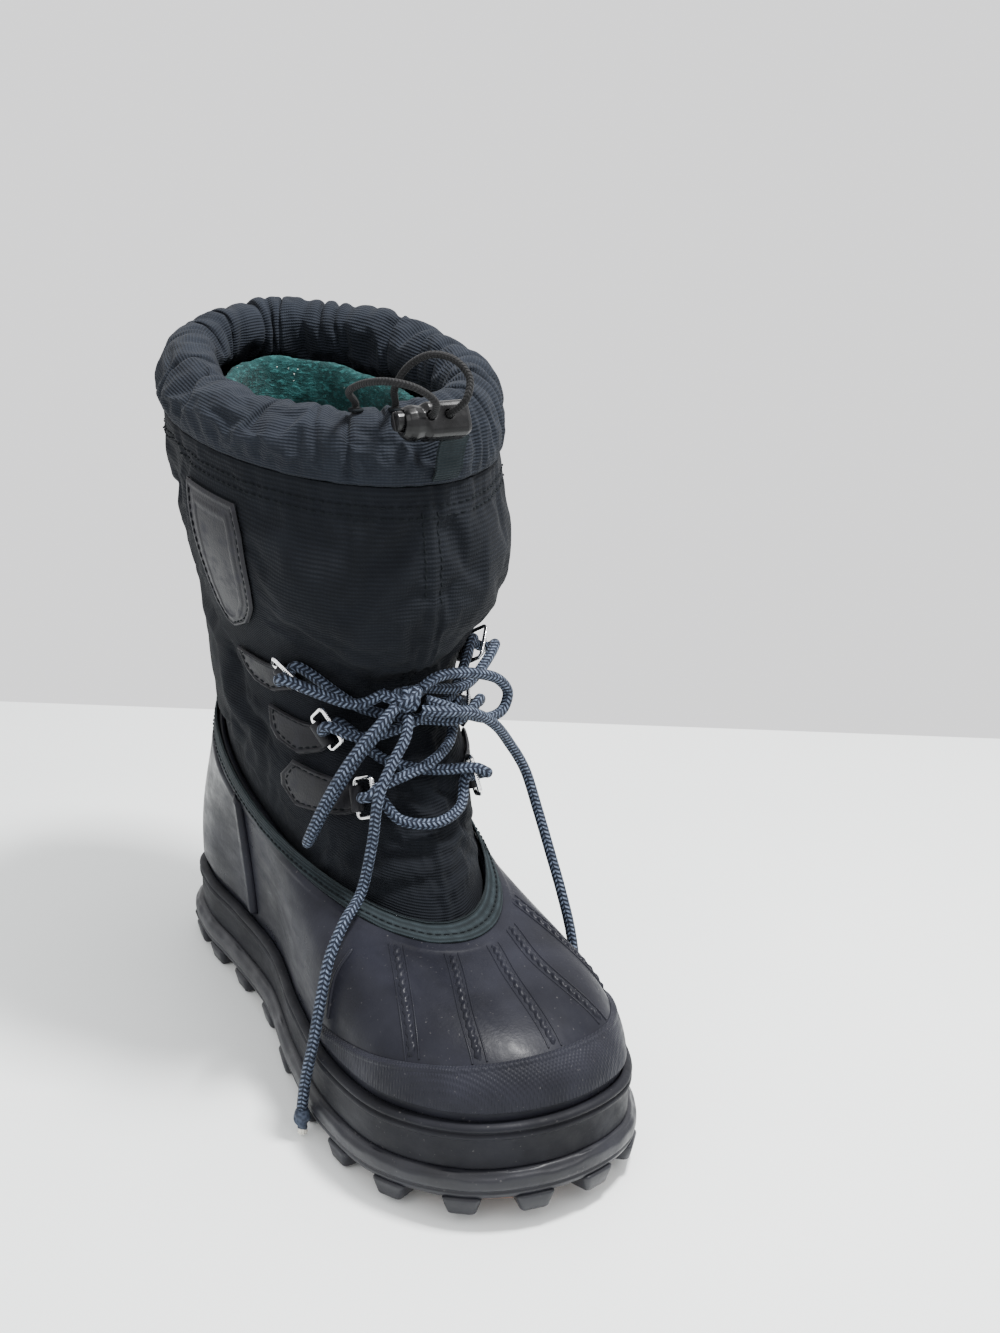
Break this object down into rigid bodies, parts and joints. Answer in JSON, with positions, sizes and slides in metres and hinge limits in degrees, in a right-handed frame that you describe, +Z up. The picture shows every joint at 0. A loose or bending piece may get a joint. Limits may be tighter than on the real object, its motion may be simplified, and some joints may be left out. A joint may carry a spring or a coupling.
{
  "type": "winter pac boot",
  "caption": "Winter pac boot for the right foot: lugged rubber galosh, nylon shaft laced through wire rings, padded drawcord collar and felt inner boot.",
  "frame": {"origin": "on the standing face of the sole, under the middle of its length and width", "axes": "+Z up, the toe points along -Y, the outer side of the foot is -X"},
  "size_m": [0.1495, 0.3267, 0.3281],
  "materials": {
    "gum_rubber": "matte",
    "sole_rubber": "satin",
    "galosh_rubber": "satin",
    "binding_tape": "woven",
    "spring_steel": "bare",
    "fibreboard": "pressed board",
    "grey_felt": "felted",
    "nylon": "coarse weave",
    "green_felt": "felted, looped",
    "leatherette": "fine grain",
    "lace_braid": "round braid",
    "chromed_wire": "polished",
    "black_plastic": "moulded",
    "elastic_cord": "braided cover"
  },
  "bodies": {
    "boot": {"outsole_tread": "gum_rubber", "outsole": "sole_rubber", "foxing_band": "galosh_rubber", "rubber_shell": "galosh_rubber", "toe_cap": "galosh_rubber", "heel_counter": "galosh_rubber", "shell_binding": "binding_tape", "shank": "spring_steel", "insole_board": "fibreboard", "felt_insole": "grey_felt", "shaft_lateral": "nylon", "shaft_medial": "nylon", "snow_collar": "nylon", "felt_liner": "green_felt", "side_patch": "leatherette", "lace_tab_lateral_1": "leatherette", "lace_tab_medial_1": "leatherette", "lace_tab_lateral_2": "leatherette", "lace_tab_medial_2": "leatherette", "lace_tab_lateral_3": "leatherette", "lace_tab_medial_3": "leatherette", "lacing": "lace_braid", "bow_knot": "lace_braid", "bow_loop_lateral": "lace_braid", "bow_loop_medial": "lace_braid", "lace_end_lateral": "lace_braid", "lace_end_medial": "lace_braid", "lace_tip_lateral": "lace_braid", "lace_tip_medial": "lace_braid", "cord_lock_body": "black_plastic", "cord_lock_spring": "spring_steel", "cord_lock_tab": "binding_tape", "drawcord_lateral": "elastic_cord", "drawcord_medial": "elastic_cord", "drawcord_knot_lateral": "elastic_cord", "drawcord_knot_medial": "elastic_cord"},
    "lace_ring_lateral_1": {"lace_ring_lateral_1": "chromed_wire"},
    "lace_ring_medial_1": {"lace_ring_medial_1": "chromed_wire"},
    "lace_ring_lateral_2": {"lace_ring_lateral_2": "chromed_wire"},
    "lace_ring_medial_2": {"lace_ring_medial_2": "chromed_wire"},
    "lace_ring_lateral_3": {"lace_ring_lateral_3": "chromed_wire"},
    "lace_ring_medial_3": {"lace_ring_medial_3": "chromed_wire"},
    "cord_lock_button": {"cord_lock_button": "black_plastic"}
  },
  "joints": [
    {"name": "ring_swing_lateral_1", "type": "hinge", "parent": "boot", "child": "lace_ring_lateral_1", "pos_m": [-0.02831, -0.02889, 0.13557], "axis": [-0.0717, -0.4173, -0.9059], "range_deg": [-4, 4]},
    {"name": "ring_swing_medial_1", "type": "hinge", "parent": "boot", "child": "lace_ring_medial_1", "pos_m": [0.02831, -0.02889, 0.13557], "axis": [0.0717, -0.4173, -0.9059], "range_deg": [-4, 4]},
    {"name": "ring_swing_lateral_2", "type": "hinge", "parent": "boot", "child": "lace_ring_lateral_2", "pos_m": [-0.03475, -0.00789, 0.15919], "axis": [0.3036, -0.5985, -0.7414], "range_deg": [-4, 4]},
    {"name": "ring_swing_medial_2", "type": "hinge", "parent": "boot", "child": "lace_ring_medial_2", "pos_m": [0.03475, -0.00789, 0.15919], "axis": [-0.3036, -0.5985, -0.7414], "range_deg": [-4, 4]},
    {"name": "ring_swing_lateral_3", "type": "hinge", "parent": "boot", "child": "lace_ring_lateral_3", "pos_m": [-0.04509, 0.00521, 0.18295], "axis": [0.4939, -0.5718, -0.6551], "range_deg": [-4, 4]},
    {"name": "ring_swing_medial_3", "type": "hinge", "parent": "boot", "child": "lace_ring_medial_3", "pos_m": [0.04509, 0.00521, 0.18295], "axis": [-0.4939, -0.5718, -0.6551], "range_deg": [-4, 4]},
    {"name": "button_press", "type": "slide", "parent": "boot", "child": "cord_lock_button", "axis": [1, 0, 0], "range_m": [0, 0.0025], "stiffness_N_per_m": 500, "springref_m": -0.002, "deforming": ["cord_lock_spring"]}
  ]
}
